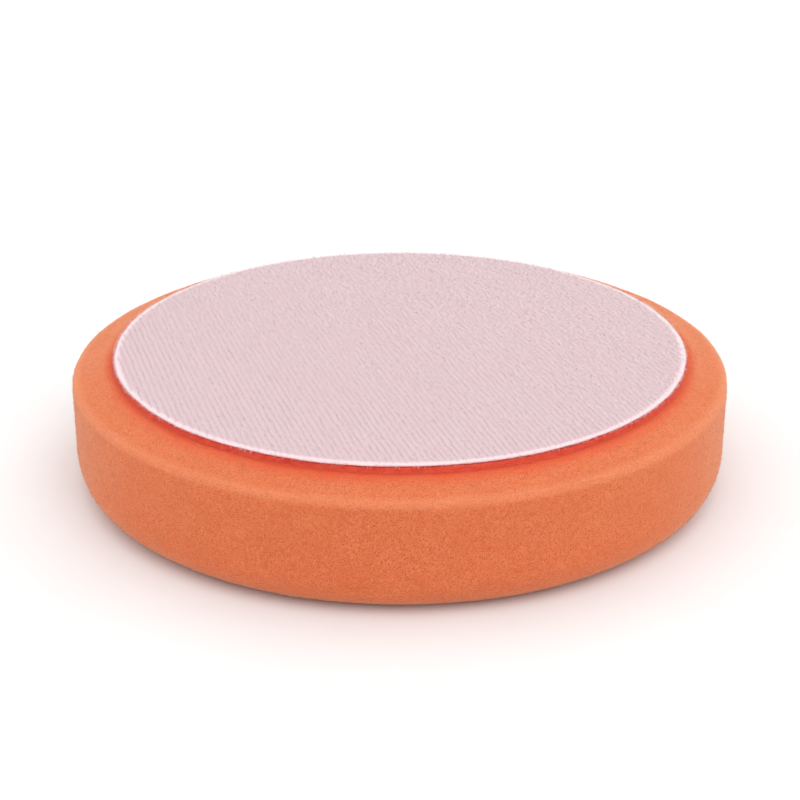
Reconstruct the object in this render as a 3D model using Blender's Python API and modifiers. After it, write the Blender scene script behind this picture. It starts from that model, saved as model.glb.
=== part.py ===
"""A foam polishing pad: foam body, hot-melt adhesive film and loop-cloth backing.

The pad lies on its working face, as it does on paint, with the loop backing up towards the machine.
Units are metres, +Z is up, and the origin is the middle of the working face.
"""
import math

import bpy

# Driving dimensions.
PAD_DIAMETER = 0.150
PAD_THICKNESS = 0.030           # working face to the top of the loop cloth
CLOTH_DIAMETER = 0.131
CLOTH_THICKNESS = 0.0010
CLOTH_EDGE_RADIUS = 0.0004
FILM_DIAMETER = 0.1318          # a little glue squeezes out past the cloth
FILM_THICKNESS = 0.0004
LAYER_GAP = 0.0003              # clearance between two bonded layers
WORKING_EDGE_RADIUS = 0.0080    # soft roll-over from the working face to the wall
SHOULDER_DROP = 0.0026          # fall of the shoulder from the backing to the rim
RIM_RADIUS = 0.0022             # round corner between the shoulder and the wall

PAD_RADIUS = PAD_DIAMETER / 2
CLOTH_BOTTOM = PAD_THICKNESS - CLOTH_THICKNESS
FILM_TOP = CLOTH_BOTTOM - LAYER_GAP
FILM_BOTTOM = FILM_TOP - FILM_THICKNESS
SEAT_HEIGHT = FILM_BOTTOM - LAYER_GAP
SEAT_RADIUS = FILM_DIAMETER / 2

TURN_STEPS = 96
CORNER_STEPS = 8
EDGE_STEPS = 4
MERGE_DISTANCE = 0.00002
SHARP_ANGLE = math.radians(35)

# Linear RGB and roughness of each piece.
FINISHES = {
    "foam_body": ((0.83, 0.21, 0.09), 0.95),
    "adhesive_film": ((0.67, 0.04, 0.02), 0.45),
    "loop_backing": ((0.80, 0.62, 0.66), 0.85),
}


def clear_scene():
    for item in list(bpy.data.objects):
        bpy.data.objects.remove(item, do_unlink=True)


def make_collection(name):
    collection = bpy.data.collections.new(name)
    bpy.context.scene.collection.children.link(collection)
    return collection


def make_material(name):
    colour, roughness = FINISHES[name]
    material = bpy.data.materials.new(name)
    material.use_nodes = True
    shader = material.node_tree.nodes["Principled BSDF"]
    shader.inputs["Base Color"].default_value = (*colour, 1.0)
    shader.inputs["Roughness"].default_value = roughness
    shader.inputs["Metallic"].default_value = 0.0
    return material


def corner(centre_x, centre_z, radius, start, end, steps):
    """Points on a round corner in the XZ plane, from one angle to another in radians."""
    points = []
    for step in range(steps + 1):
        angle = start + (end - start) * step / steps
        points.append((centre_x + radius * math.cos(angle), centre_z + radius * math.sin(angle)))
    return points


def foam_profile():
    """Half section of the foam: seat, sloping shoulder, round rim, wall, soft edge, working face."""
    slope = math.atan2(SHOULDER_DROP, PAD_RADIUS - SEAT_RADIUS)
    rim_x = PAD_RADIUS - RIM_RADIUS
    shoulder_at_rim = SEAT_HEIGHT - math.tan(slope) * (rim_x - SEAT_RADIUS)
    rim_z = shoulder_at_rim - RIM_RADIUS / math.cos(slope)
    rim = corner(rim_x, rim_z, RIM_RADIUS, math.pi / 2 - slope, 0, CORNER_STEPS)
    edge = corner(PAD_RADIUS - WORKING_EDGE_RADIUS, WORKING_EDGE_RADIUS, WORKING_EDGE_RADIUS,
                  0, -math.pi / 2, CORNER_STEPS)
    return [(0, SEAT_HEIGHT), (SEAT_RADIUS, SEAT_HEIGHT), *rim, *edge, (0, 0)]


def film_profile():
    """Half section of the film, whose squeezed-out edge is a half-round bead."""
    bead_radius = FILM_THICKNESS / 2
    bead = corner(SEAT_RADIUS - bead_radius, FILM_BOTTOM + bead_radius, bead_radius,
                  math.pi / 2, -math.pi / 2, EDGE_STEPS)
    return [(0, FILM_TOP), *bead, (0, FILM_BOTTOM)]


def cloth_profile():
    """Half section of the loop cloth, with a pressed-down upper edge."""
    radius = CLOTH_DIAMETER / 2
    edge = corner(radius - CLOTH_EDGE_RADIUS, PAD_THICKNESS - CLOTH_EDGE_RADIUS, CLOTH_EDGE_RADIUS,
                  math.pi / 2, 0, EDGE_STEPS)
    return [(0, PAD_THICKNESS), *edge, (radius, CLOTH_BOTTOM), (0, CLOTH_BOTTOM)]


def add_profile(name, points, collection):
    """An object that holds a half section as a chain of edges in the XZ plane."""
    mesh = bpy.data.meshes.new(name)
    edges = [(index, index + 1) for index in range(len(points) - 1)]
    mesh.from_pydata([(x, 0.0, z) for x, z in points], edges, [])
    mesh.materials.append(make_material(name))
    part = bpy.data.objects.new(name, mesh)
    collection.objects.link(part)
    return part


def turn_profile(part):
    """Turn the half section once around Z, then shade it smooth apart from its real edges."""
    screw = part.modifiers.new("turn", "SCREW")
    screw.axis = "Z"
    screw.angle = math.tau
    screw.steps = TURN_STEPS
    screw.render_steps = TURN_STEPS
    screw.use_merge_vertices = True
    screw.merge_threshold = MERGE_DISTANCE
    bpy.context.view_layer.objects.active = part
    bpy.ops.object.modifier_apply(modifier=screw.name)
    part.data.shade_smooth()
    part.data.set_sharp_from_angle(angle=SHARP_ANGLE)


def main():
    clear_scene()
    collection = make_collection("polishing_pad")
    axis = bpy.data.objects.new("pad_axis", None)
    collection.objects.link(axis)
    profiles = {
        "foam_body": foam_profile(),
        "adhesive_film": film_profile(),
        "loop_backing": cloth_profile(),
    }
    for name, points in profiles.items():
        part = add_profile(name, points, collection)
        turn_profile(part)
        part.parent = axis


main()
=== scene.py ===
"""A foam polishing pad with a loop-cloth backing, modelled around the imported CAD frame.

The pad lies on its working face with the loop cloth up. Sizes are in metres and +Z is up.
"""

import math

import bpy
import numpy as np
from bpy.props import FloatProperty, FloatVectorProperty, IntProperty, PointerProperty
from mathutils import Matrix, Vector


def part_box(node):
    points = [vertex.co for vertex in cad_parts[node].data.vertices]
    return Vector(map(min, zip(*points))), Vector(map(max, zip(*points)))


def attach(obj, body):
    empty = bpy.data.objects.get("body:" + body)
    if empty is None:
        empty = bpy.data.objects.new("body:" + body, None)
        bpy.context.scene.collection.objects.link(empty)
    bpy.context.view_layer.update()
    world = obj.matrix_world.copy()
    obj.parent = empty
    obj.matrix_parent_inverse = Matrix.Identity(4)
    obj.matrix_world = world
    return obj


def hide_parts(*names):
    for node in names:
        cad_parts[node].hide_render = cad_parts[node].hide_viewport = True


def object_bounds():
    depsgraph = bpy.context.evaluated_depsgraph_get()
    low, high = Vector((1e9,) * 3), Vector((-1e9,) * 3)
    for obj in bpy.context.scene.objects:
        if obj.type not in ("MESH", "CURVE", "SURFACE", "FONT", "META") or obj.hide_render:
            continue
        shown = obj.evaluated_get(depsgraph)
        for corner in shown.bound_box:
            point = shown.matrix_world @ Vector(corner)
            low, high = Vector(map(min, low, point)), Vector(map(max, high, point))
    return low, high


bl_info = {
    "name": "Foam polishing pad",
    "version": (1, 0, 0),
    "blender": (4, 5, 0),
    "location": "View3D > Sidebar > Polishing pad",
    "description": "Open-cell foam body, red hot-melt film and knitted loop-cloth backing",
    "category": "Add Mesh",
}

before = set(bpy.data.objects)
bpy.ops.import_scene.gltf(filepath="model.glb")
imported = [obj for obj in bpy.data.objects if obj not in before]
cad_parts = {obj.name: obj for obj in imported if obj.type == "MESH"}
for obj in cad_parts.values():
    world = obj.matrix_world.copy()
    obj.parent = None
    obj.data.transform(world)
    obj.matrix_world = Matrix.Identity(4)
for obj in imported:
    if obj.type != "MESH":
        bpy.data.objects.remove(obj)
CAD_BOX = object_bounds()

MM = 0.001
BODY = "root"
AXIS = Vector((0.0, 0.0, 1.0))
# A spun ring's points are put in order by how far they are from here. Only a few pairs of them are
# so nearly equally far that their order could still change.
ORDER_FROM = (0.31, 0.173, 0.057)

# The frame's own sizes.
FOAM_LOW, FOAM_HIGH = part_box("foam_body")
CLOTH_LOW, CLOTH_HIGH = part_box("loop_backing")
PAD_RADIUS = FOAM_HIGH.x
FOAM_TOP = FOAM_HIGH.z
FILM_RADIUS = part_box("adhesive_film")[1].x
CLOTH_RADIUS = CLOTH_HIGH.x

# Shape of the foam's outer side.
WORKING_EDGE = 8.0 * MM
SHOULDER_DROP = 2.6 * MM
CORNER = FOAM_TOP - SHOULDER_DROP
RIM_RADIUS = 1.5 * MM
CREASE_DEPTH = 0.15 * MM

# The glue reaches further out on the near (-Y) side than on the far side. In the film this is its
# shape, and in the foam's colour the extra red on the near side is painted crease shade.
NEAR_SIDE_LEAN = 1.7 * MM

# Knitted ground of the loop cloth, under its loops.
GROUND_THICKNESS = 0.55 * MM
GROUND_TOP = CLOTH_LOW.z + GROUND_THICKNESS


def linear(code):
    """An sRGB hex colour as linear RGBA."""
    channels = [int(code[place:place + 2], 16) / 255 for place in (0, 2, 4)]
    return (*[c / 12.92 if c <= 0.04045 else ((c + 0.055) / 1.055) ** 2.4 for c in channels], 1.0)


# ---------------------------------------------------------------- small helpers

def clear_selection():
    if bpy.context.object and bpy.context.object.mode != "OBJECT":
        bpy.ops.object.mode_set(mode="OBJECT")
    bpy.ops.object.select_all(action="DESELECT")


def make_active(piece):
    clear_selection()
    piece.select_set(True)
    bpy.context.view_layer.objects.active = piece


def apply_modifier(piece, name, kind, **settings):
    """Adds a modifier with these settings and applies it."""
    make_active(piece)
    modifier = piece.modifiers.new(name, kind)
    for key, value in settings.items():
        setattr(modifier, key, value)
    bpy.ops.object.modifier_apply(modifier=modifier.name)


def push_by_noise(piece, name, size, strength, group=""):
    """Pushes a surface in and out by a cloudy noise of this grain size."""
    texture = bpy.data.textures.new(name, "CLOUDS")
    texture.noise_scale = size
    apply_modifier(piece, name, "DISPLACE", texture=texture, texture_coords="LOCAL",
                   strength=strength, mid_level=0.5, vertex_group=group)


def settle_piece(piece, name, material):
    """Names a finished piece, puts its place in its mesh and ties it to the frame."""
    make_active(piece)
    bpy.ops.object.transform_apply(location=True, rotation=True, scale=True)
    piece.name = name
    piece.data.name = name
    piece.data.materials.clear()
    piece.data.materials.append(material)
    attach(piece, BODY)


def spin_outline(outline, segments):
    """Extrudes one vertex along a half section and spins it once round the pad's axis."""
    clear_selection()
    start = Vector((outline[0][0], 0.0, outline[0][1]))
    bpy.ops.mesh.primitive_plane_add(size=MM, location=start)
    piece = bpy.context.object
    bpy.ops.object.mode_set(mode="EDIT")
    bpy.ops.mesh.select_mode(type="VERT")
    bpy.ops.mesh.select_all(action="SELECT")
    bpy.ops.mesh.merge(type="CENTER")
    for (x0, z0), (x1, z1) in zip(outline, outline[1:]):
        step = (x1 - x0, 0.0, z1 - z0)
        bpy.ops.mesh.extrude_vertices_move(TRANSFORM_OT_translate={"value": step})
    bpy.ops.mesh.select_all(action="SELECT")
    bpy.ops.mesh.spin(steps=segments, angle=math.tau, center=(0.0, 0.0, 0.0), axis=AXIS)
    bpy.ops.mesh.select_all(action="SELECT")
    bpy.ops.mesh.remove_doubles(threshold=0.01 * MM)
    # The operators above leave an order that changes from run to run, and the random draws on the
    # faces would change with it.
    bpy.context.scene.cursor.location = ORDER_FROM
    bpy.ops.mesh.sort_elements(type="CURSOR_DISTANCE", elements={"VERT", "EDGE", "FACE"})
    bpy.context.scene.cursor.location = (0.0, 0.0, 0.0)
    bpy.ops.object.mode_set(mode="OBJECT")
    bpy.ops.object.transform_apply(location=True, rotation=True, scale=True)
    return piece


def close_middle(piece, steps=2):
    """Extrudes a spun ring's two open rims in to the axis and merges each one there.

    It comes after subdivision, because a pole where many edges meet is slow to subdivide.
    """
    make_active(piece)
    bpy.ops.object.mode_set(mode="EDIT")
    bpy.ops.mesh.select_mode(type="EDGE")
    bpy.ops.mesh.select_all(action="DESELECT")
    bpy.ops.mesh.select_non_manifold(extend=False, use_wire=False, use_multi_face=False,
                                     use_non_contiguous=False, use_verts=False)
    for step in range(steps):
        bpy.ops.mesh.extrude_edges_move()
        share = (steps - step) / (steps + 1 - step)
        bpy.ops.transform.resize(value=(share, share, 1.0))
    bpy.ops.mesh.extrude_edges_move()
    bpy.ops.mesh.merge(type="COLLAPSE")
    bpy.ops.mesh.select_all(action="SELECT")
    bpy.ops.mesh.normals_make_consistent(inside=False)
    bpy.ops.object.mode_set(mode="OBJECT")


def arc(centre_x, centre_z, radius, start, end, steps):
    """Cage points for a round corner. They stand a little outside it, as subdivision pulls in."""
    reach = radius * 3 / (2 + math.cos((end - start) / steps))
    turns = [start + (end - start) * step / steps for step in range(steps + 1)]
    return [(centre_x + reach * math.cos(turn), centre_z + reach * math.sin(turn)) for turn in turns]


def read_points(mesh):
    points = np.empty(len(mesh.vertices) * 3, np.float32)
    mesh.vertices.foreach_get("co", points)
    return points.reshape(-1, 3)


def write_points(mesh, points):
    mesh.vertices.foreach_set("co", np.ascontiguousarray(points, np.float32).ravel())
    mesh.update()


def read_faces(mesh):
    """Centres, normals and areas of a mesh's faces."""
    count = len(mesh.polygons)
    centres, normals, areas = np.empty(count * 3), np.empty(count * 3), np.empty(count)
    mesh.polygons.foreach_get("center", centres)
    mesh.polygons.foreach_get("normal", normals)
    mesh.polygons.foreach_get("area", areas)
    return centres.reshape(-1, 3), normals.reshape(-1, 3), areas


def unit(rows):
    """Each row of an array at length one."""
    return rows / np.linalg.norm(rows, axis=1, keepdims=True)


def random_sides(axis, rng):
    """Two directions square to each row's axis, turned round it at random."""
    side = unit(np.cross(axis, rng.normal(0.0, 1.0, axis.shape)))
    return side, np.cross(axis, side)


def copies_of(pattern, places, name):
    """One mesh of many copies of a small pattern mesh. places is copies x points x 3."""
    faces = np.array([list(face.vertices) for face in pattern.polygons])
    count, size = places.shape[0], places.shape[1]
    shifted = faces[None] + (np.arange(count) * size)[:, None, None]
    mesh = bpy.data.meshes.new(name)
    mesh.from_pydata(places.reshape(-1, 3).tolist(), [],
                     shifted.reshape(-1, faces.shape[1]).tolist())
    mesh.shade_smooth()
    piece = bpy.data.objects.new(name, mesh)
    bpy.context.scene.collection.objects.link(piece)
    return piece


# ---------------------------------------------------------------- materials

# A Mix node's colour sockets share their names with others, so they go by number: 0 is the amount,
# 6 and 7 are the colours, and the result is output 2.
COLOURS = {"output": 2, "data_type": "RGBA"}
SMOOTH = {"interpolation_type": "SMOOTHSTEP"}
BORDERS = {"output": "Distance", "feature": "DISTANCE_TO_EDGE"}


def set_inputs(tree, node, inputs):
    """Sets inputs by name or number. A socket is linked, and anything else is a value."""
    for key, value in inputs.items():
        if isinstance(value, bpy.types.NodeSocket):
            tree.links.new(value, node.inputs[key])
        else:
            node.inputs[key].default_value = value


def add_node(tree, kind, inputs, output=0, **settings):
    """Adds a node with its inputs and settings, and gives the output asked for."""
    node = tree.nodes.new(kind)
    for key, value in settings.items():
        setattr(node, key, value)
    set_inputs(tree, node, inputs)
    return node.outputs[output]


def new_material(name):
    """A material with its tree, its Principled shader and the object coordinates."""
    material = bpy.data.materials.new(name)
    material.use_nodes = True
    tree = material.node_tree
    place = add_node(tree, "ShaderNodeTexCoord", {}, "Object")
    return material, tree, tree.nodes["Principled BSDF"], place


def distance_from_axis(tree, place):
    """How far a point is from the pad's axis."""
    flat = add_node(tree, "ShaderNodeVectorMath", {0: place, 1: (1.0, 1.0, 0.0)},
                    operation="MULTIPLY")
    return add_node(tree, "ShaderNodeVectorMath", {0: flat}, "Value", operation="LENGTH")


def wave_of(tree, along, pitch):
    """A smooth wave of this pitch, from 0 to 1."""
    phase = add_node(tree, "ShaderNodeMath", {0: along, 1: math.tau / pitch}, operation="MULTIPLY")
    wave = add_node(tree, "ShaderNodeMath", {0: phase}, operation="COSINE")
    return add_node(tree, "ShaderNodeMapRange", {"Value": wave, "From Min": -1.0}, **SMOOTH)


def open_cell_foam(settings):
    """Orange polyurethane foam, cut from a block.

    The cut leaves open cells about half a millimetre wide. Their struts are painted paler as a lit net
    and the pores between them are painted darker as shade, most where deep and least where still
    closed by a skin, so the surface is dead matt with a fine grain. It turns pale where it is seen
    along the surface, and light that soaks in comes out more orange. Beside the cloth it is red,
    partly from glue drawn into the cells and partly from painted shade of the crease.
    """
    material, tree, shader, place = new_material("open_cell_polyurethane_foam")
    size = settings.cell_size
    warp = add_node(tree, "ShaderNodeTexNoise",
                    {"Vector": place, "Scale": 0.8 / size, "Detail": 1.0}, "Color")
    bent = add_node(tree, "ShaderNodeVectorMath", {0: warp, 1: (0.5 * size,) * 3, 2: place},
                    operation="MULTIPLY_ADD")
    net = add_node(tree, "ShaderNodeTexVoronoi", {"Vector": bent, "Scale": 1 / size}, **BORDERS)
    cell = add_node(tree, "ShaderNodeTexVoronoi", {"Vector": bent, "Scale": 1 / size}, "Color",
                    feature="F1")
    chance = add_node(tree, "ShaderNodeSeparateXYZ", {0: cell}, "X")
    depth = add_node(tree, "ShaderNodeMapRange",
                     {"Value": chance, "From Min": 0.15, "From Max": 0.85}, **SMOOTH)
    # Painted shade: deep pores are darker than shallow ones, and the struts are painted paler as the
    # lit net.
    pore_shade = add_node(tree, "ShaderNodeMix",
                    {0: depth, 6: settings.pore_shade_colour, 7: settings.colour}, **COLOURS)
    strut = add_node(tree, "ShaderNodeMapRange",
                     {"Value": net, "From Min": 0.03, "From Max": 0.2, "To Min": 1.0, "To Max": 0.0},
                     **SMOOTH)
    foam = add_node(tree, "ShaderNodeMix", {0: strut, 6: pore_shade, 7: settings.lit_strut_colour}, **COLOURS)

    # The block is a little denser in some places than in others.
    density = 6 * MM
    mottle = add_node(tree, "ShaderNodeTexNoise",
                      {"Vector": place, "Scale": 1 / density, "Detail": 4.0}, "Fac")
    dense = add_node(tree, "ShaderNodeMapRange",
                     {"Value": mottle, "From Min": 0.3, "From Max": 0.7, "To Max": 0.3}, **SMOOTH)
    foam = add_node(tree, "ShaderNodeMix", {0: dense, 6: foam, 7: settings.deep_colour}, **COLOURS)

    # Glue soaks outwards from the film with a ragged edge, and only into the shoulder. The red there
    # is partly glue in the cells and partly painted shade of the crease beside the cloth.
    ragged_by, soak_start, soak_end = 2.4 * MM, 1.1 * MM, 5.6 * MM
    radius = distance_from_axis(tree, place)
    across = add_node(tree, "ShaderNodeSeparateXYZ", {0: place}, "Y")
    height = add_node(tree, "ShaderNodeSeparateXYZ", {0: place}, "Z")
    ragged = add_node(tree, "ShaderNodeMath", {0: mottle, 1: ragged_by, 2: radius},
                      operation="MULTIPLY_ADD")
    # Painted shade: the red tint reaches further on the near side and is held back towards the far
    # side.
    held_back = add_node(tree, "ShaderNodeMapRange",
                         {"Value": across, "From Min": -PAD_RADIUS, "From Max": PAD_RADIUS,
                          "To Max": 2 * NEAR_SIDE_LEAN}, **SMOOTH)
    run_out = add_node(tree, "ShaderNodeMath", {0: ragged, 1: held_back}, operation="ADD")
    near_glue = add_node(tree, "ShaderNodeMapRange",
                         {"Value": run_out, "From Min": FILM_RADIUS + soak_start,
                          "From Max": FILM_RADIUS + soak_end, "To Min": 0.95, "To Max": 0.0},
                         **SMOOTH)
    on_shoulder = add_node(tree, "ShaderNodeMapRange",
                           {"Value": height, "From Min": CORNER - 1.0 * MM,
                            "From Max": CORNER + 0.6 * MM}, **SMOOTH)
    soaked_and_shaded = add_node(tree, "ShaderNodeMath", {0: near_glue, 1: on_shoulder}, operation="MULTIPLY")
    foam = add_node(tree, "ShaderNodeMix", {0: soaked_and_shaded, 6: foam, 7: settings.glue_and_shade_tint}, **COLOURS)

    # A painted highlight makes the foam paler along the rim, where the shoulder turns into the wall.
    far_out = add_node(tree, "ShaderNodeMapRange",
                       {"Value": radius, "From Min": PAD_RADIUS - 2.6 * MM,
                        "From Max": PAD_RADIUS - 0.9 * MM}, **SMOOTH)
    high_up = add_node(tree, "ShaderNodeMapRange",
                       {"Value": height, "From Min": CORNER - 1.6 * MM,
                        "From Max": CORNER - 0.5 * MM, "To Max": 0.3}, **SMOOTH)
    foam_rim_highlight = add_node(tree, "ShaderNodeMath", {0: far_out, 1: high_up}, operation="MULTIPLY")
    foam = add_node(tree, "ShaderNodeMix", {0: foam_rim_highlight, 6: foam, 7: settings.foam_rim_highlight_colour}, **COLOURS)

    relief = add_node(tree, "ShaderNodeMapRange",
                      {"Value": net, "From Max": 0.28, "To Min": 1.0, "To Max": 0.0}, **SMOOTH)
    bump = add_node(tree, "ShaderNodeBump",
                    {"Height": relief, "Strength": 0.4, "Distance": 0.3 * size})
    rough = add_node(tree, "ShaderNodeMapRange",
                     {"Value": net, "From Max": 0.3, "To Min": 0.85}, **SMOOTH)
    set_inputs(tree, shader, {
        "Base Color": foam, "Normal": bump, "Roughness": rough, "Specular IOR Level": 0.15,
        "Sheen Weight": 0.44, "Sheen Roughness": 0.3, "Sheen Tint": linear("FFD9BC"),
        "Subsurface Weight": 0.45, "Subsurface Radius": (1.0, 0.35, 0.18),
        "Subsurface Scale": 3 * MM})
    return material


def hot_melt_glue(settings):
    """Red hot-melt adhesive, pressed on as a film and melted into the foam.

    The squeezed-out edge has taken the foam's cells, so it is dull with a few smooth spots, deep
    red where it is thick and nearer the foam's orange where it is thin.
    """
    material, tree, shader, place = new_material("hot_melt_adhesive")
    lumps, cells = 1.8 * MM, 0.45 * MM
    flow = add_node(tree, "ShaderNodeTexNoise",
                    {"Vector": place, "Scale": 1 / lumps, "Detail": 4.0}, "Fac")
    net = add_node(tree, "ShaderNodeTexVoronoi", {"Vector": place, "Scale": 1 / cells}, **BORDERS)
    height = add_node(tree, "ShaderNodeSeparateXYZ", {0: place}, "Z")
    thin = add_node(tree, "ShaderNodeMapRange",
                    {"Value": flow, "From Min": 0.38, "From Max": 0.68}, **SMOOTH)
    strut = add_node(tree, "ShaderNodeMapRange",
                     {"Value": net, "From Min": 0.02, "From Max": 0.2, "To Min": 0.6, "To Max": 0.0},
                     **SMOOTH)
    foot = add_node(tree, "ShaderNodeMapRange",
                    {"Value": height, "From Min": FOAM_TOP - 0.5 * MM, "From Max": FOAM_TOP + 0.3 * MM,
                     "To Min": 0.7, "To Max": 0.0}, **SMOOTH)
    glue = add_node(tree, "ShaderNodeMix",
                    {0: thin, 6: settings.colour, 7: settings.thin_colour}, **COLOURS)
    glue = add_node(tree, "ShaderNodeMix", {0: strut, 6: glue, 7: settings.foot_colour}, **COLOURS)
    glue = add_node(tree, "ShaderNodeMix", {0: foot, 6: glue, 7: settings.foot_colour}, **COLOURS)
    rough = add_node(tree, "ShaderNodeMapRange",
                     {"Value": flow, "From Min": 0.3, "From Max": 0.7, "To Min": 0.5, "To Max": 0.85},
                     **SMOOTH)
    walls = add_node(tree, "ShaderNodeMapRange",
                     {"Value": net, "From Max": 0.3, "To Min": 1.0, "To Max": 0.0}, **SMOOTH)
    relief = add_node(tree, "ShaderNodeMath", {0: flow, 1: 1.5, 2: walls}, operation="MULTIPLY_ADD")
    bump = add_node(tree, "ShaderNodeBump",
                    {"Height": relief, "Strength": 0.7, "Distance": 0.15 * MM})
    set_inputs(tree, shader, {
        "Base Color": glue, "Normal": bump, "Roughness": rough, "IOR": 1.48,
        "Specular IOR Level": 0.35, "Subsurface Weight": 0.4,
        "Subsurface Radius": (1.0, 0.25, 0.15), "Subsurface Scale": 1.5 * MM})
    return material


def knitted_nylon(settings):
    """Warp-knitted nylon ground, heat-set flat.

    It is a close, dull knit with a rib at each needle and a stitch every third of a millimetre.
    The red glue behind it shows through a little where the knit is open and has wicked into the
    cut side. A painted highlight makes the edge pale, and painted shade darkens it between the ribs.
    """
    material, tree, shader, place = new_material("knitted_nylon_ground")
    yarn_grain, glue_patch = 0.3 * MM, 9 * MM
    turned = add_node(tree, "ShaderNodeMapping",
                      {"Vector": place, "Rotation": (0.0, 0.0, -settings.rib_turn)})
    across = add_node(tree, "ShaderNodeSeparateXYZ", {0: turned}, "X")
    along = add_node(tree, "ShaderNodeSeparateXYZ", {0: turned}, "Y")
    height = add_node(tree, "ShaderNodeSeparateXYZ", {0: turned}, "Z")
    rib = wave_of(tree, across, settings.rib_pitch)
    wale = wave_of(tree, across, settings.rib_pitch / 3)
    stitch = wave_of(tree, along, settings.course_pitch)
    weave = add_node(tree, "ShaderNodeMath", {0: wale, 1: stitch}, operation="MULTIPLY")
    yarn = add_node(tree, "ShaderNodeTexNoise",
                    {"Vector": place, "Scale": 1 / yarn_grain, "Detail": 2.0}, "Fac")
    patch = add_node(tree, "ShaderNodeTexNoise",
                     {"Vector": place, "Scale": 1 / glue_patch, "Detail": 3.0}, "Fac")

    # Painted shade darkens the knit between the ribs.
    knit = add_node(tree, "ShaderNodeMix",
                    {0: rib, 6: settings.valley_shade_colour, 7: settings.colour}, **COLOURS)
    gap = add_node(tree, "ShaderNodeMapRange",
                   {"Value": weave, "From Max": 0.5, "To Min": 0.35, "To Max": 0.0}, **SMOOTH)
    knit = add_node(tree, "ShaderNodeMix", {0: gap, 6: knit, 7: settings.show_through}, **COLOURS)
    show = add_node(tree, "ShaderNodeMapRange",
                    {"Value": patch, "From Min": 0.35, "From Max": 0.75, "To Max": 0.25}, **SMOOTH)
    knit = add_node(tree, "ShaderNodeMix", {0: show, 6: knit, 7: settings.show_through}, **COLOURS)
    radius = distance_from_axis(tree, place)
    # Painted highlight: the knit turns pale towards the cut edge.
    edge_highlight = add_node(tree, "ShaderNodeMapRange",
                       {"Value": radius, "From Min": CLOTH_RADIUS - 1.8 * MM,
                        "From Max": CLOTH_RADIUS - 0.7 * MM, "To Max": 0.75}, **SMOOTH)
    knit = add_node(tree, "ShaderNodeMix", {0: edge_highlight, 6: knit, 7: settings.pale_dye_and_highlight_colour}, **COLOURS)
    level = add_node(tree, "ShaderNodeMath", {0: yarn, 1: 0.25 * MM, 2: height},
                     operation="MULTIPLY_ADD")
    wicked = add_node(tree, "ShaderNodeMapRange",
                      {"Value": level, "From Min": CLOTH_LOW.z + 0.25 * MM,
                       "From Max": CLOTH_LOW.z + 0.55 * MM, "To Min": 0.85, "To Max": 0.0}, **SMOOTH)
    knit = add_node(tree, "ShaderNodeMix", {0: wicked, 6: knit, 7: settings.wicked_colour}, **COLOURS)

    relief = add_node(tree, "ShaderNodeMath", {0: weave, 1: 0.7, 2: rib}, operation="MULTIPLY_ADD")
    relief = add_node(tree, "ShaderNodeMath", {0: yarn, 1: 0.8, 2: relief}, operation="MULTIPLY_ADD")
    bump = add_node(tree, "ShaderNodeBump",
                    {"Height": relief, "Strength": 0.45, "Distance": 0.1 * MM})
    rough = add_node(tree, "ShaderNodeMapRange",
                     {"Value": yarn, "From Min": 0.3, "From Max": 0.7, "To Min": 0.75, "To Max": 0.95},
                     **SMOOTH)
    set_inputs(tree, shader, {"Base Color": knit, "Normal": bump, "Roughness": rough,
                              "Sheen Weight": 0.3, "Sheen Roughness": 0.45})
    return material


def nylon_loop_yarn(settings):
    """Crimped nylon filament in raised loops.

    Fine, translucent and slightly shiny, so the pile looks soft and paler than the knit below.
    """
    material, tree, shader, place = new_material("nylon_loop_yarn")
    dye_patch = 1.1 * MM
    dye = add_node(tree, "ShaderNodeTexNoise",
                   {"Vector": place, "Scale": 1 / dye_patch, "Detail": 2.0}, "Fac")
    shade = add_node(tree, "ShaderNodeMapRange",
                     {"Value": dye, "From Min": 0.3, "From Max": 0.7}, **SMOOTH)
    # Here the pale colour is a random dye tone of the yarn.
    colour = add_node(tree, "ShaderNodeMix",
                      {0: shade, 6: settings.colour, 7: settings.pale_dye_and_highlight_colour}, **COLOURS)
    set_inputs(tree, shader, {
        "Base Color": colour, "Roughness": 0.7, "IOR": 1.53, "Subsurface Weight": 0.5,
        "Subsurface Radius": (1.0, 0.9, 0.9), "Subsurface Scale": 0.4 * MM, "Sheen Weight": 0.3,
        "Sheen Roughness": 0.4})
    return material


def studio_card():
    """A sheet of white card, lit until it is almost pure white, with the faintest tooth."""
    material, tree, shader, place = new_material("white_studio_card")
    # A card's real tooth is under a millimetre and wouldn't show.
    tooth_size = 40 * MM
    tooth = add_node(tree, "ShaderNodeTexNoise",
                     {"Vector": place, "Scale": 1 / tooth_size, "Detail": 4.0}, "Fac")
    amount = add_node(tree, "ShaderNodeMapRange",
                      {"Value": tooth, "From Min": 0.3, "From Max": 0.7}, **SMOOTH)
    card = add_node(tree, "ShaderNodeMix",
                    {0: amount, 6: linear("E7E7E7"), 7: linear("E9E9E9")}, **COLOURS)
    set_inputs(tree, shader, {"Base Color": card, "Roughness": 1.0, "Specular IOR Level": 0.0})
    return material


# ---------------------------------------------------------------- settings

def colour_property(name, description, code):
    return FloatVectorProperty(name=name, description=description, subtype="COLOR", size=4,
                               min=0.0, max=1.0, default=linear(code))


def length_property(name, description, millimetres):
    return FloatProperty(name=name, description=description, unit="LENGTH", subtype="DISTANCE",
                         min=0.0, precision=5, default=millimetres * MM)


def count_property(name, description, count):
    return IntProperty(name=name, description=description, min=0, default=count)


def angle_property(name, description, degrees):
    return FloatProperty(name=name, description=description, subtype="ANGLE",
                         default=math.radians(degrees))


def power_property(name, description, watts):
    return FloatProperty(name=name, description=description, unit="POWER", default=watts)


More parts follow.
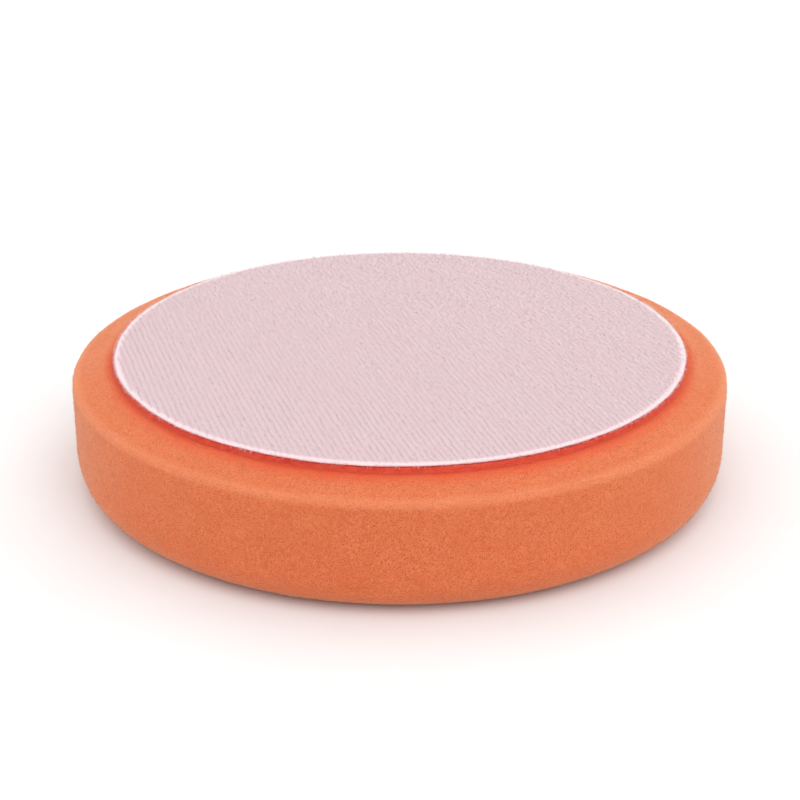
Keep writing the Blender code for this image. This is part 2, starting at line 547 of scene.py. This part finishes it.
class PadFoamSettings(bpy.types.PropertyGroup):
    cell_size: length_property("Cell size", "Width of one foam cell", 0.45)
    waviness: length_property("Cut waviness", "How far the saw cut wanders", 0.5)
    grain: length_property("Grain", "Height of the torn cells in the surface", 0.1)
    stubs: count_property("Strut stubs", "Cut struts that stand up from the surface", 45000)
    stub_length: length_property("Stub length", "Mean length of a cut strut", 0.32)
    # Painted light on the cell relief: the struts are paler than the pores.
    lit_strut_colour: colour_property("Struts", "Foam colour on its struts", "DC7D54")
    colour: colour_property("Shallow pores", "Foam colour in a shallow pore", "CC6B43")
    deep_colour: colour_property("Deep foam", "Foam colour where it is a little denser", "CB643B")
    # Painted shade: the colour in a deep pore.
    pore_shade_colour: colour_property("Deep pores", "Foam colour in a deep pore", "BC5B37")
    # Painted highlight: the paler foam colour along the rim.
    foam_rim_highlight_colour: colour_property("Worn rim", "Foam colour where handling has roughed the rim",
                                 "DA946E")
    # Partly glue in the cells and partly painted shade of the crease beside the cloth.
    glue_and_shade_tint: colour_property("Soaked foam", "Foam with red glue in its cells", "D2472A")


class PadGlueSettings(bpy.types.PropertyGroup):
    squeeze: length_property("Squeeze-out", "How far the bead wanders in and out", 0.6)
    colour: colour_property("Glue", "Hot-melt glue where it is thick", "CC3824")
    thin_colour: colour_property("Thin glue", "Hot-melt glue where it is thin", "DA523C")
    foot_colour: colour_property("Glue foot", "Hot-melt glue where it runs into the foam", "D54E2E")


class PadClothSettings(bpy.types.PropertyGroup):
    rib_pitch: length_property("Rib pitch", "Distance between two ribs of the knit", 1.25)
    course_pitch: length_property("Course pitch", "Distance between two loops of a rib", 0.34)
    edge_wander: length_property("Edge wander", "How far the cut edge strays from a circle", 0.2)
    rib_turn: angle_property("Rib direction", "Turn of the ribs about the pad's axis", 17)
    loop_height: length_property("Loop height", "Height of a loop over the ground knit", 0.25)
    yarn: length_property("Yarn", "Thickness of the loop yarn", 0.1)
    fringe: count_property("Cut filaments", "Loose filament ends round the cut edge", 2600)
    colour: colour_property("Cloth", "Knit colour", "CBB6BA")
    # Painted shade: the knit colour in the valleys between ribs.
    valley_shade_colour: colour_property("Between ribs", "Knit colour between two ribs", "C8B0B5")
    show_through: colour_property("Show-through", "Knit where the red glue shows most", "D0A8AC")
    # Painted highlight along the knit's cut edge, and the paler random dye tone of the loop yarn.
    pale_dye_and_highlight_colour: colour_property("Pressed edge", "Knit where the die pressed it pale", "E8D2D6")
    wicked_colour: colour_property("Wicked glue", "Cut side of the knit that has drawn up glue",
                                   "DE6A5C")


class PadStageSettings(bpy.types.PropertyGroup):
    elevation: angle_property("Camera elevation", "Height of the view over the floor", 23.5)
    distance: length_property("Camera distance", "Camera to the pad's middle", 407)
    lens: FloatProperty(name="Lens", description="Focal length in millimetres", unit="CAMERA",
                        default=78.0)
    key_power: power_property("Key light", "Power of the overhead softbox", 2.3)
    fill_power: power_property("Fill light", "Power of the side softbox", 0.25)
    sky: FloatProperty(name="Surroundings", description="Brightness of the white surroundings",
                       default=1.23)


# ---------------------------------------------------------------- foam

def foam_cage():
    """Half section of the foam's cage, from the middle of the seat round to the middle of the face."""
    run = PAD_RADIUS - FILM_RADIUS
    slope = math.atan2(SHOULDER_DROP, run)
    rim_x = PAD_RADIUS - RIM_RADIUS
    rim_z = FOAM_TOP - math.tan(slope) * (rim_x - FILM_RADIUS) - RIM_RADIUS / math.cos(slope)
    seat = [(FILM_RADIUS * 0.9, FOAM_TOP), (FILM_RADIUS - 1.2 * MM, FOAM_TOP)]
    crease = [(FILM_RADIUS - 0.1 * MM, FOAM_TOP - CREASE_DEPTH * 0.8),
              (FILM_RADIUS + 0.7 * MM, FOAM_TOP - CREASE_DEPTH),
              (FILM_RADIUS + 1.9 * MM, FOAM_TOP - CREASE_DEPTH * 0.75)]
    shoulder = [(FILM_RADIUS + run * share, FOAM_TOP - SHOULDER_DROP * share)
                for share in (0.4, 0.58)]
    rim = arc(rim_x, rim_z, RIM_RADIUS, math.pi / 2 - slope, 0.0, 3)
    edge = arc(PAD_RADIUS - WORKING_EDGE, WORKING_EDGE, WORKING_EDGE, 0.0, -math.pi / 2, 5)
    rows = 7
    top, bottom = rim[-1][1], edge[0][1]
    wall = [(PAD_RADIUS, top + (bottom - top) * row / rows) for row in range(1, rows)]
    face = [(PAD_RADIUS * 0.84, 0.0), (PAD_RADIUS * 0.8, 0.0)]
    return seat + crease + shoulder + rim + wall + edge + face


def weigh_cut_surface(piece):
    """Adds a vertex group that is full on the open foam and empty on the seat and the face."""
    points = read_points(piece.data)
    radius = np.hypot(points[:, 0], points[:, 1])
    seat = (points[:, 2] > FOAM_TOP - 1.5 * MM) & (radius < FILM_RADIUS + 0.5 * MM)
    weight = np.clip((points[:, 2] + 0.2 * MM) / (1.5 * MM), 0.0, 1.0)
    weight[seat] = 0.0
    weight = np.round(weight, 2)
    group = piece.vertex_groups.new(name="cut_surface")
    for level in np.unique(weight):
        group.add(np.flatnonzero(weight == level).tolist(), float(level), "REPLACE")
    return group.name


class PAD_OT_foam_body(bpy.types.Operator):
    """Model the foam body: seat, crease, shoulder, wall and soft working edge"""
    bl_idname = "polishing_pad.foam_body"
    bl_label = "Foam body"
    bl_options = {"REGISTER", "UNDO"}

    def execute(self, context):
        settings = context.scene.pad_foam
        saw_wave, torn_cell = 28 * MM, 1.5 * MM
        piece = spin_outline(foam_cage(), 200)
        apply_modifier(piece, "soft_form", "SUBSURF", levels=2, render_levels=2)
        group = weigh_cut_surface(piece)
        push_by_noise(piece, "saw_wander", saw_wave, settings.waviness, group)
        push_by_noise(piece, "torn_cells", torn_cell, settings.grain, group)
        piece.vertex_groups.clear()
        points = read_points(piece.data)
        points[:, 2] = np.maximum(points[:, 2], FOAM_LOW.z)
        write_points(piece.data, points)
        close_middle(piece, 8)
        piece.data.shade_smooth()
        settle_piece(piece, "foam_pad", open_cell_foam(settings))
        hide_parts("foam_body")
        return {"FINISHED"}


class PAD_OT_foam_stubs(bpy.types.Operator):
    """Scatter the cut struts that stand up from the open foam"""
    bl_idname = "polishing_pad.foam_stubs"
    bl_label = "Cut foam struts"
    bl_options = {"REGISTER", "UNDO"}

    def execute(self, context):
        settings = context.scene.pad_foam
        foam = bpy.data.objects["foam_pad"]
        rng = np.random.default_rng(11)
        count = settings.stubs
        scatter = 0.2 * MM
        lean_spread = 0.55
        sunk = 0.05 * MM
        # A real strut is about half as thick. Thinner ones don't show.
        stub_radius = 0.05 * MM

        centres, normals, areas = read_faces(foam.data)
        radius = np.hypot(centres[:, 0], centres[:, 1])
        seat = (centres[:, 2] > FOAM_TOP - 1.2 * MM) & (radius < FILM_RADIUS + 0.8 * MM)
        chance = areas * ((centres[:, 2] > 0.3 * MM) & ~seat)
        chosen = rng.choice(len(areas), count, p=chance / chance.sum())
        outward = normals[chosen]
        jitter = rng.normal(0.0, scatter, (count, 3))
        jitter -= (jitter * outward).sum(1, keepdims=True) * outward
        lean = unit(outward + rng.normal(0.0, lean_spread, (count, 3)))
        side, across = random_sides(lean, rng)
        length = settings.stub_length * rng.uniform(0.5, 1.5, count)[:, None]
        width = stub_radius * rng.uniform(0.7, 1.4, count)[:, None]
        root = centres[chosen] + jitter - outward * sunk
        corners = [root + width * (math.cos(turn) * side + math.sin(turn) * across)
                   for turn in (0.0, -math.tau / 3, -2 * math.tau / 3)]
        places = np.stack([*corners, root + lean * length], axis=1)
        places[..., 2] = np.maximum(places[..., 2], FOAM_LOW.z)

        # The cone lends its faces. Its points all come from places.
        clear_selection()
        bpy.ops.mesh.primitive_cone_add(vertices=3, radius1=MM, depth=MM)
        pattern = bpy.context.object
        piece = copies_of(pattern.data, places, "foam_strut_stubs")
        bpy.data.objects.remove(pattern)
        settle_piece(piece, "foam_strut_stubs", foam.data.materials[0])
        return {"FINISHED"}


# ---------------------------------------------------------------- glue

def bead_section():
    """Half section of the film's outer part: flat under the cloth, its bead sunk into the foam."""
    top, bottom = CLOTH_LOW.z - 0.01 * MM, FOAM_TOP - 0.6 * MM
    inner = [FILM_RADIUS - 5 * MM, FILM_RADIUS - 3 * MM]
    bead = [(FILM_RADIUS - 0.5 * MM, top), (FILM_RADIUS - 0.3 * MM, top - 0.06 * MM),
            (FILM_RADIUS - 0.15 * MM, top - 0.3 * MM), (FILM_RADIUS - 0.1 * MM, top - 0.6 * MM),
            (FILM_RADIUS + 0.05 * MM, FOAM_TOP + 0.1 * MM),
            (FILM_RADIUS + 0.25 * MM, FOAM_TOP - 0.2 * MM), (FILM_RADIUS + 0.3 * MM, bottom)]
    return [*[(x, top) for x in inner], *bead, *[(x, bottom) for x in reversed(inner)]]


class PAD_OT_glue_film(bpy.types.Operator):
    """Model the hot-melt film with its squeezed-out bead"""
    bl_idname = "polishing_pad.glue_film"
    bl_label = "Hot-melt film"
    bl_options = {"REGISTER", "UNDO"}

    def execute(self, context):
        settings = context.scene.pad_glue
        lump = 1.6 * MM
        outline = bead_section()
        piece = spin_outline(outline, 240)
        apply_modifier(piece, "melted_form", "SUBSURF", levels=2, render_levels=2)
        push_by_noise(piece, "glue_lumps", lump, settings.squeeze)
        points = read_points(piece.data)
        points[:, 2] = np.minimum(points[:, 2], outline[0][1])
        turn = np.arctan2(points[:, 1], points[:, 0])
        radius = np.hypot(points[:, 0], points[:, 1])
        rng = np.random.default_rng(5)
        wander = np.zeros(len(points))
        for waves in (3, 7, 16, 31, 53, 97, 151, 233):
            wander += np.sin(waves * turn + rng.uniform(0, math.tau)) / math.sqrt(waves)
        outer = np.clip((radius - FILM_RADIUS + 1 * MM) / (1 * MM), 0.0, 1.0)
        held_back = 0.2 * NEAR_SIDE_LEAN * (1 + points[:, 1] / FILM_RADIUS)
        shift = settings.squeeze * 0.5 * wander - held_back
        points[:, :2] *= (1 + shift * outer / radius)[:, None]
        write_points(piece.data, points)
        close_middle(piece)
        piece.data.shade_smooth()
        settle_piece(piece, "hot_melt_film", hot_melt_glue(settings))
        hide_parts("adhesive_film")
        return {"FINISHED"}


# ---------------------------------------------------------------- cloth

def cut_wander(points, amount):
    """How far the die-cut edge strays from a true circle at each point."""
    turn = np.arctan2(points[:, 1], points[:, 0])
    waves = 0.5 * np.sin(3 * turn + 0.7) + 0.25 * np.sin(11 * turn + 2.1) + 0.25 * np.sin(37 * turn)
    return amount * waves


class PAD_OT_ground_knit(bpy.types.Operator):
    """Model the knitted ground of the loop cloth, with its pressed cut edge"""
    bl_idname = "polishing_pad.ground_knit"
    bl_label = "Ground knit"
    bl_options = {"REGISTER", "UNDO"}

    def execute(self, context):
        settings = context.scene.pad_cloth
        low, high = CLOTH_LOW.z, GROUND_TOP
        outline = [(CLOTH_RADIUS * 0.94, high), (CLOTH_RADIUS * 0.96, high),
                   (CLOTH_RADIUS - 1.6 * MM, high), (CLOTH_RADIUS - 0.5 * MM, high - 0.05 * MM),
                   (CLOTH_RADIUS, high - 0.2 * MM), (CLOTH_RADIUS, low + 0.1 * MM),
                   (CLOTH_RADIUS - 0.3 * MM, low), (CLOTH_RADIUS * 0.96, low),
                   (CLOTH_RADIUS * 0.94, low)]
        piece = spin_outline(outline, 180)
        apply_modifier(piece, "soft_edge", "SUBSURF", levels=2, render_levels=2)
        points = read_points(piece.data)
        wander = cut_wander(points, settings.edge_wander)
        points[:, :2] *= (1 + wander / CLOTH_RADIUS)[:, None]
        write_points(piece.data, points)
        close_middle(piece, 6)
        piece.data.shade_smooth()
        settle_piece(piece, "loop_cloth", knitted_nylon(settings))
        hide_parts("loop_backing")
        return {"FINISHED"}


def loop_places(settings, rng):
    """Middle of each loop on the cloth, in rows along the ribs, as an array of x and y.

    The pile is brushed even on the near left and ruffled on the far right, where the ribs blur.
    """
    reach = CLOTH_RADIUS - 0.9 * MM
    along_jitter = 0.12 * settings.course_pitch
    even, ruffled = 0.12 * settings.rib_pitch, 0.32 * settings.rib_pitch
    places = []
    ribs = int(reach / settings.rib_pitch)
    for rib in range(-ribs, ribs + 1):
        across = rib * settings.rib_pitch
        half = math.sqrt(max(reach ** 2 - across ** 2, 0.0))
        count = int(2 * half / settings.course_pitch)
        along = (np.arange(count) - (count - 1) / 2) * settings.course_pitch
        along += rng.normal(0.0, along_jitter, count)
        places.append(np.stack([np.full(count, across), along], axis=1))
    places = np.concatenate(places)
    share = np.clip(0.5 + places.sum(axis=1) / (1.6 * reach), 0.0, 1.0)
    places[:, 0] += rng.normal(0.0, 1.0, len(places)) * (even + (ruffled - even) * share)
    cosine, sine = math.cos(settings.rib_turn), math.sin(settings.rib_turn)
    return places @ np.array([[cosine, -sine], [sine, cosine]]).T


def model_loop(settings):
    """One half ring of yarn, standing on the ground knit with its feet in it."""
    clear_selection()
    span = 0.3 * MM
    # A real yarn is about half as thick. A thinner one doesn't show.
    bpy.ops.mesh.primitive_torus_add(major_segments=8, minor_segments=3, major_radius=span,
                                     minor_radius=settings.yarn / 2,
                                     rotation=(math.pi / 2, 0.0, 0.0))
    loop = bpy.context.object
    bpy.ops.object.transform_apply(location=True, rotation=True, scale=True)
    bpy.ops.object.mode_set(mode="EDIT")
    bpy.ops.mesh.select_all(action="SELECT")
    bpy.ops.mesh.bisect(plane_co=(0.0, 0.0, -0.02 * MM), plane_no=AXIS, clear_inner=True,
                        use_fill=True)
    bpy.ops.mesh.select_all(action="SELECT")
    bpy.ops.mesh.quads_convert_to_tris()
    bpy.ops.mesh.normals_make_consistent(inside=False)
    bpy.ops.object.mode_set(mode="OBJECT")
    return loop


class PAD_OT_loop_pile(bpy.types.Operator):
    """Raise the loops of the pile from the ground knit, rib by rib"""
    bl_idname = "polishing_pad.loop_pile"
    bl_label = "Loop pile"
    bl_options = {"REGISTER", "UNDO"}

    def execute(self, context):
        settings = context.scene.pad_cloth
        rng = np.random.default_rng(3)
        places = loop_places(settings, rng)
        count = len(places)
        pieces = 5
        heading_spread, tilt_spread, fall_spread = 0.7, 0.12, 1.0
        foot = GROUND_TOP - 0.04 * MM

        loop = model_loop(settings)
        pattern = read_points(loop.data)
        pattern[:, 2] *= settings.loop_height / pattern[:, 2].max()
        heading = settings.rib_turn + math.pi / 2 + rng.normal(0.0, heading_spread, count)
        tilt = rng.normal(0.0, tilt_spread, count)
        along = unit(np.stack([np.cos(heading), np.sin(heading), tilt], axis=1))
        fall = [rng.normal(0.0, fall_spread, count), rng.normal(0.0, fall_spread, count)]
        across = unit(np.cross(np.stack([*fall, np.ones(count)], axis=1), along))
        turns = np.stack([along, across, np.cross(along, across)], axis=2)
        size = rng.uniform(0.8, 1.2, (count, 1, 1))
        middles = np.column_stack([places, np.full(count, foot)])
        points = np.einsum("nij,pj->npi", turns, pattern) * size + middles[:, None]
        material = nylon_loop_yarn(settings)
        # One mesh of them all would be past the triangles that a piece may have.
        for number, chosen in enumerate(np.array_split(np.arange(count), pieces), 1):
            name = f"loop_pile_{number}"
            piece = copies_of(loop.data, points[chosen], name)
            settle_piece(piece, name, material)
        bpy.data.objects.remove(loop)
        return {"FINISHED"}


def model_filament():
    """One straight filament end, a millimetre long and cut in three so that it can curl."""
    clear_selection()
    # A real filament is about half as thick. A thinner one doesn't show.
    radius = 0.035 * MM
    bpy.ops.mesh.primitive_cylinder_add(vertices=3, radius=radius, depth=MM,
                                        location=(0.0, 0.0, MM / 2))
    filament = bpy.context.object
    bpy.ops.object.transform_apply(location=True, rotation=True, scale=True)
    bpy.ops.object.mode_set(mode="EDIT")
    for cut in (0.33, 0.66):
        bpy.ops.mesh.select_all(action="SELECT")
        bpy.ops.mesh.bisect(plane_co=(0.0, 0.0, cut * MM), plane_no=AXIS)
    bpy.ops.mesh.select_all(action="SELECT")
    bpy.ops.mesh.quads_convert_to_tris()
    bpy.ops.object.mode_set(mode="OBJECT")
    return filament


class PAD_OT_cut_fringe(bpy.types.Operator):
    """Add the loose filament ends round the cloth's cut edge"""
    bl_idname = "polishing_pad.cut_fringe"
    bl_label = "Cut fringe"
    bl_options = {"REGISTER", "UNDO"}

    def execute(self, context):
        settings = context.scene.pad_cloth
        rng = np.random.default_rng(8)
        count = settings.fringe
        filament = model_filament()
        pattern = read_points(filament.data)
        height = pattern[:, 2] / MM

        turn = rng.uniform(0.0, math.tau, count)
        outward = np.stack([np.cos(turn), np.sin(turn), np.zeros(count)], axis=1)
        strays = [rng.normal(0, 0.5, count), rng.normal(0, 0.5, count), rng.normal(0.15, 0.35, count)]
        up = unit(outward + np.stack(strays, axis=1))
        turns = np.stack([*random_sides(up, rng), up], axis=2)
        length = rng.uniform(0.2, 0.65, (count, 1, 1))
        shape = pattern[None] * np.concatenate([np.ones((count, 1, 2)), length], axis=2)
        curl = rng.normal(0.0, 0.25, (count, 2)) * MM
        shape[..., :2] += curl[:, None] * (height ** 2)[None, :, None]
        level = CLOTH_LOW.z + rng.uniform(0.15, 0.95, count) * GROUND_THICKNESS
        root = outward * (CLOTH_RADIUS - 0.15 * MM)
        root[:, 2] = level
        points = np.einsum("nij,npj->npi", turns, shape) + root[:, None]
        piece = copies_of(filament.data, points, "cut_fringe")
        bpy.data.objects.remove(filament)
        settle_piece(piece, "cut_fringe", bpy.data.materials["nylon_loop_yarn"])

        return {"FINISHED"}


# ---------------------------------------------------------------- stage

def add_softbox(name, place, target, size, power):
    """A round soft light at a place, turned to its target."""
    clear_selection()
    bpy.ops.object.light_add(type="AREA", location=place)
    lamp = bpy.context.object
    lamp.name = name
    lamp.data.shape = "DISK"
    lamp.data.size = size
    lamp.data.energy = power
    lamp.rotation_euler = (Vector(target) - Vector(place)).to_track_quat("-Z", "Y").to_euler()


class PAD_OT_stage(bpy.types.Operator):
    """Set the pale floor, the soft light and the camera"""
    bl_idname = "polishing_pad.stage"
    bl_label = "Stage"
    bl_options = {"REGISTER", "UNDO"}

    def execute(self, context):
        settings = context.scene.pad_stage
        middle = (CAD_BOX[0] + CAD_BOX[1]) / 2
        clear_selection()
        bpy.ops.mesh.primitive_plane_add(size=60.0, location=(0.0, 0.0, 0.0))
        floor = bpy.context.object
        floor.name = "studio_floor"
        floor.data.materials.append(studio_card())

        world = bpy.data.worlds.new("white_surroundings")
        context.scene.world = world
        world.use_nodes = True
        sky = world.node_tree.nodes["Background"]
        sky.inputs["Color"].default_value = (1.0, 1.0, 1.0, 1.0)
        sky.inputs["Strength"].default_value = settings.sky
        context.scene.view_settings.view_transform = "Standard"

        # The key stands over the camera's right shoulder, and the fill lifts the wall on the right.
        add_softbox("overhead_softbox", (0.22, -0.55, 0.95), middle, 0.9, settings.key_power)
        add_softbox("side_softbox", (0.8, -0.1, 0.35), middle, 0.5, settings.fill_power)

        back = Vector((0.0, -math.cos(settings.elevation), math.sin(settings.elevation)))
        camera_data = bpy.data.cameras.new("camera")
        camera = bpy.data.objects.new("camera", camera_data)
        context.scene.collection.objects.link(camera)
        camera.location = middle + back * settings.distance
        camera.rotation_euler = (-back).to_track_quat("-Z", "Y").to_euler()
        camera_data.lens = settings.lens
        camera_data.clip_start = 1 * MM
        camera_data.clip_end = 100.0
        context.scene.camera = camera
        return {"FINISHED"}


# ---------------------------------------------------------------- add-on

OPERATORS = (PAD_OT_foam_body, PAD_OT_foam_stubs, PAD_OT_glue_film, PAD_OT_ground_knit,
             PAD_OT_loop_pile, PAD_OT_cut_fringe, PAD_OT_stage)
SETTINGS = {"pad_foam": PadFoamSettings, "pad_glue": PadGlueSettings,
            "pad_cloth": PadClothSettings, "pad_stage": PadStageSettings}


class PAD_PT_panel(bpy.types.Panel):
    """Lists the pad's pieces and their settings"""
    bl_idname = "PAD_PT_panel"
    bl_label = "Polishing pad"
    bl_space_type = "VIEW_3D"
    bl_region_type = "UI"
    bl_category = "Polishing pad"

    def draw(self, context):
        for operator in OPERATORS:
            self.layout.operator(operator.bl_idname)
        for key, group in SETTINGS.items():
            box = self.layout.box()
            for name in group.__annotations__:
                box.prop(getattr(context.scene, key), name)


def register():
    for item in (*SETTINGS.values(), *OPERATORS, PAD_PT_panel):
        bpy.utils.register_class(item)
    for key, group in SETTINGS.items():
        setattr(bpy.types.Scene, key, PointerProperty(type=group))


def unregister():
    for key in SETTINGS:
        delattr(bpy.types.Scene, key)
    for item in reversed((*SETTINGS.values(), *OPERATORS, PAD_PT_panel)):
        bpy.utils.unregister_class(item)


def main():
    register()
    bpy.ops.polishing_pad.foam_body()
    bpy.ops.polishing_pad.foam_stubs()
    bpy.ops.polishing_pad.glue_film()
    bpy.ops.polishing_pad.ground_knit()
    bpy.ops.polishing_pad.loop_pile()
    bpy.ops.polishing_pad.cut_fringe()
    bpy.ops.polishing_pad.stage()


if __name__ == "__main__":
    main()
